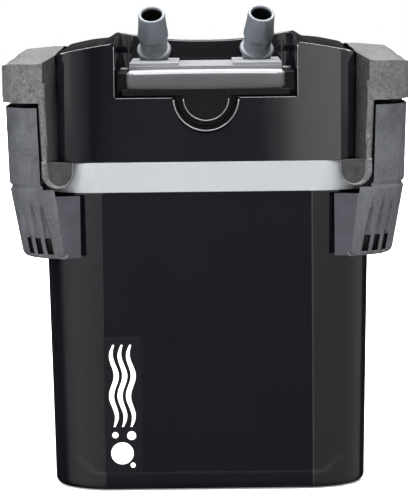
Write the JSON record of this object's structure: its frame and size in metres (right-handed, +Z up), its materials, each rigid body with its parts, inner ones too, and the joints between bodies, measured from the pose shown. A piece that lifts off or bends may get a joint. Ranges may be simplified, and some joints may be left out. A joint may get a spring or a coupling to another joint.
{
  "type": "canister filter",
  "caption": "Canister filter: black tub with media baskets, pump head, side clips that swing open, tap lever and swivelling hose tails.",
  "frame": {"origin": "centre of the overall footprint, on the floor", "axes": "+Z up; the front with the tap lever faces -Y; +X is to the right seen from the front"},
  "size_m": [0.239, 0.19, 0.285],
  "materials": {
    "tub_black": "gloss",
    "head_black": "gloss",
    "band_grey": "satin",
    "rubber_black": "matte",
    "label_white": "gloss",
    "inner_black": "satin",
    "screw_steel": "satin",
    "pin_steel": "satin",
    "clip_grey": "fine texture",
    "lever_grey": "fine texture",
    "tap_grey": "satin",
    "yoke_black": "gloss",
    "grip_grey": "satin",
    "tail_grey": "satin",
    "magnet_grey": "satin",
    "impeller_white": "satin",
    "ceramic_white": "polished",
    "basket_black": "satin",
    "foam_blue": "open foam",
    "foam_white": "open foam",
    "ring_clay": "unglazed"
  },
  "bodies": {
    "filter": {"canister": "tub_black", "collar_band": "band_grey", "canister_feet": "rubber_black", "front_label": "label_white", "head_cover": "head_black", "head_base": "inner_black", "head_seal": "rubber_black", "cover_screws": "screw_steel", "cable_gland": "inner_black", "left_clip_frame": "clip_grey", "right_clip_frame": "clip_grey", "left_clip_pin": "pin_steel", "right_clip_pin": "pin_steel", "tap_block": "tap_grey", "tap_port_seals": "rubber_black", "motor_housing": "inner_black", "rotor_shaft": "ceramic_white", "shaft_bushes": "rubber_black", "impeller_cover": "inner_black", "pump_screws": "screw_steel", "outlet_duct": "inner_black", "riser_tube": "tail_grey", "riser_seal": "rubber_black", "strainer": "inner_black", "basket_lower": "basket_black", "basket_middle": "basket_black", "basket_upper": "basket_black", "foam_coarse": "foam_blue", "foam_fine": "foam_white", "bio_media": "ring_clay", "basket_handle": "tail_grey"},
    "left_clip": {"left_clip_lever": "lever_grey"},
    "right_clip": {"right_clip_lever": "lever_grey"},
    "tap_lever": {"tap_yoke": "yoke_black", "tap_grip": "grip_grey", "valve_spindle": "tail_grey"},
    "inlet_tail": {"inlet_elbow": "tail_grey", "inlet_seal": "rubber_black"},
    "outlet_tail": {"outlet_elbow": "tail_grey", "outlet_seal": "rubber_black"},
    "rotor": {"rotor_magnet": "magnet_grey", "impeller": "impeller_white"}
  },
  "joints": [
    {"name": "left_clip_hinge", "type": "hinge", "parent": "filter", "child": "left_clip", "pos_m": [-0.1135, 0, 0.224], "axis": [0, 1, 0], "range_deg": [0, 75]},
    {"name": "right_clip_hinge", "type": "hinge", "parent": "filter", "child": "right_clip", "pos_m": [0.1135, 0, 0.224], "axis": [0, -1, 0], "range_deg": [0, 75]},
    {"name": "tap_lever_hinge", "type": "hinge", "parent": "filter", "child": "tap_lever", "pos_m": [0, -0.025, 0.241], "axis": [-1, 0, 0], "range_deg": [0, 90]},
    {"name": "inlet_swivel", "type": "hinge", "parent": "filter", "child": "inlet_tail", "pos_m": [-0.031, -0.025, 0.252], "axis": [0, 0, 1], "range_deg": [-25, 25]},
    {"name": "outlet_swivel", "type": "hinge", "parent": "filter", "child": "outlet_tail", "pos_m": [0.031, -0.025, 0.252], "axis": [0, 0, 1], "range_deg": [-25, 25]},
    {"name": "rotor_spin", "type": "hinge", "parent": "filter", "child": "rotor", "pos_m": [0, 0.05, 0.2], "axis": [0, 0, 1], "continuous": true}
  ]
}
